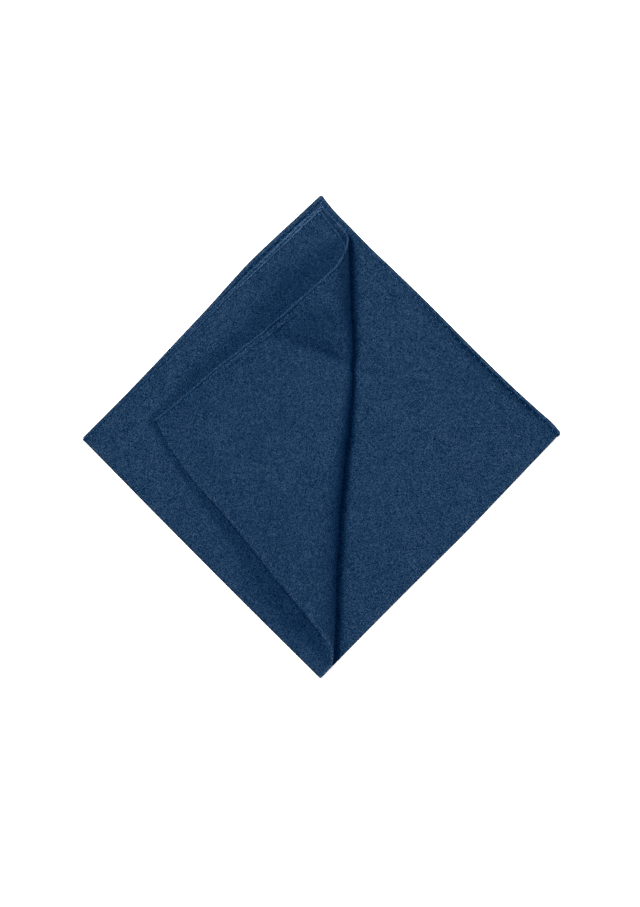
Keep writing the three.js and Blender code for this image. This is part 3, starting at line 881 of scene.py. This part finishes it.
class POCKET_OT_stitches(bpy.types.Operator):
    """Sew the hems down with pick stitches"""

    bl_idname = "pocket.stitches"
    bl_label = "Pick stitches"

    def execute(self, context):
        settings = context.scene.pocket_square
        material, tree = new_material("wool_sewing_thread")
        shader = add_node(
            tree, "ShaderNodeBsdfPrincipled",
            {"Base Color": [*settings.thread, 1], "Roughness": 0.8, "Specular IOR Level": 0.1},
        )  # fmt: skip
        add_node(tree, "ShaderNodeOutputMaterial", {"Surface": shader.outputs["BSDF"]})
        deselect_all()
        bpy.ops.mesh.primitive_uv_sphere_add(segments=8, ring_count=6, radius=1)
        stitch = bpy.context.object
        shape = np.array([vertex.co for vertex in stitch.data.vertices])
        # Blender lists a new sphere's faces in no set order, so they are sorted.
        faces = sorted(list(face.vertices) for face in stitch.data.polygons)
        bpy.data.objects.remove(stitch)
        rng = np.random.default_rng(11)
        for row, (name, _node, edge, sign, half_width) in enumerate(HEMS):
            points, polygons, flats = [], [], []
            for k in range(2 * STITCHES + 1):
                strength, slant = STITCH_STRENGTH[row, k], rng.uniform(0.3, 0.8)
                across = shape[:, 0] * (0.32 + 0.3 * strength)
                along = shape[:, 1] * 0.2 + across * slant
                out = 0.1 + 0.22 * strength + shape[:, 2] * 0.14 - 0.12 * shape[:, 0] ** 2
                run = (k - STITCHES) * STITCH_PITCH + STITCH_WANDER[row, k] + along
                inside = half_width + STITCH_INSIDE + across
                u, v = on_edge(edge, sign, run, inside)
                start = len(points) * len(shape)
                points.append(fold(u, v, out))
                flats.append(np.stack([u, v], -1))
                polygons += [[start + corner for corner in face] for face in faces]
            mesh = bpy.data.meshes.new("stitches_" + name)
            mesh.from_pydata(np.concatenate(points).tolist(), [], polygons)
            made = bpy.data.objects.new(mesh.name, mesh)
            context.scene.collection.objects.link(made)
            made.data.materials.append(material)
            deselect_all()
            made.select_set(True)
            context.view_layer.objects.active = made
            bpy.ops.object.mode_set(mode="EDIT")
            bpy.ops.mesh.select_all(action="SELECT")
            bpy.ops.mesh.normals_make_consistent(inside=False)
            bpy.ops.object.mode_set(mode="OBJECT")
            bpy.ops.object.shade_smooth()
            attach(made, "root")
        return {"FINISHED"}


class POCKET_OT_stage(bpy.types.Operator):
    """Make the floor, the lights and the camera"""

    bl_idname = "pocket.stage"
    bl_label = "Stage"

    def execute(self, context):
        stage = context.scene.pocket_stage
        deselect_all()
        bpy.ops.mesh.primitive_plane_add(size=4, location=(0, 0, 0))
        floor = context.object
        floor.name = "floor"
        acrylic = plain_material("matt_white_acrylic", "#F7F7F7", 0.9, FLOOR_GLOW)
        floor.data.materials.append(acrylic)
        deselect_all()
        lights = (
            ("softbox_left", LEFT_TOWARDS, stage.key_power, stage.key_size),
            ("softbox_right", RIGHT_TOWARDS, stage.right_power, stage.right_size),
        )
        for name, towards, power, size in lights:
            direction = Vector(towards).normalized()
            bpy.ops.object.light_add(type="AREA", location=direction * LIGHT_DISTANCE)
            softbox = context.object
            softbox.name = name
            softbox.data.energy = power
            softbox.data.size = size
            softbox.rotation_euler = direction.to_track_quat("Z", "Y").to_euler()
        world = bpy.data.worlds.new("studio")
        world.use_nodes = True
        background = world.node_tree.nodes["Background"]
        background.inputs["Color"].default_value = (1, 1, 1, 1)
        background.inputs["Strength"].default_value = stage.fill
        context.scene.world = world
        view = context.scene.view_settings
        view.view_transform = "Standard"
        # The tone curve shows flat cloth as its own navy, and deepens the shaded parts, most of
        # all in red. It belongs to the picture and not to the cloth.
        view.use_curve_mapping = True
        for curve, navy, power, exposure in zip(
            view.curve_mapping.curves, to_linear(NAVY), stage.contrast, stage.exposure
        ):
            middle = navy * exposure
            while len(curve.points) < 2 + len(TONE_STEPS):
                curve.points.new(0.5, 0.5)
            places = [0, *(middle * step for step in TONE_STEPS), 1]
            values = [0, *(navy * step**power for step in TONE_STEPS), 1]
            for point, place, value in zip(curve.points, places, values):
                point.location = (place, value)
                point.handle_type = "VECTOR"
        view.curve_mapping.update()
        deselect_all()
        lens, sensor = 100, 36
        height = VIEW_LENGTH * lens / sensor
        bpy.ops.object.camera_add(location=(*VIEW_CENTRE, height), rotation=(0, 0, 0))
        camera = context.object
        camera.name = "camera"
        camera.data.lens = lens
        camera.data.sensor_width = sensor
        context.scene.camera = camera
        return {"FINISHED"}


class POCKET_PT_panel(bpy.types.Panel):
    """Lists the steps that make the pocket square"""

    bl_label = "Pocket square"
    bl_space_type = "VIEW_3D"
    bl_region_type = "UI"
    bl_category = "Pocket square"

    def draw(self, context):
        for operator in OPERATORS:
            self.layout.operator(operator.bl_idname)
        for name in (
            "side", "grain_size", "tuft_length", "grain_contrast", "turned_painted_shade",
            "navy", "dark_fibre", "light_fibre", "thread",
        ):  # fmt: skip
            self.layout.prop(context.scene.pocket_square, name)
        for name in (
            "key_power", "key_size", "right_power", "right_size", "fill", "exposure", "contrast",
        ):  # fmt: skip
            self.layout.prop(context.scene.pocket_stage, name)


OPERATORS = (POCKET_OT_cloth, POCKET_OT_hems, POCKET_OT_stitches, POCKET_OT_stage)
CLASSES = (PocketSquareSettings, StageSettings, *OPERATORS, POCKET_PT_panel)


def register():
    for made in CLASSES:
        bpy.utils.register_class(made)
    bpy.types.Scene.pocket_square = bpy.props.PointerProperty(type=PocketSquareSettings)
    bpy.types.Scene.pocket_stage = bpy.props.PointerProperty(type=StageSettings)


def unregister():
    del bpy.types.Scene.pocket_stage
    del bpy.types.Scene.pocket_square
    for made in reversed(CLASSES):
        bpy.utils.unregister_class(made)


def main():
    register()
    bpy.ops.pocket.cloth()
    bpy.ops.pocket.hems()
    bpy.ops.pocket.stitches()
    bpy.ops.pocket.stage()


if __name__ == "__main__":
    main()
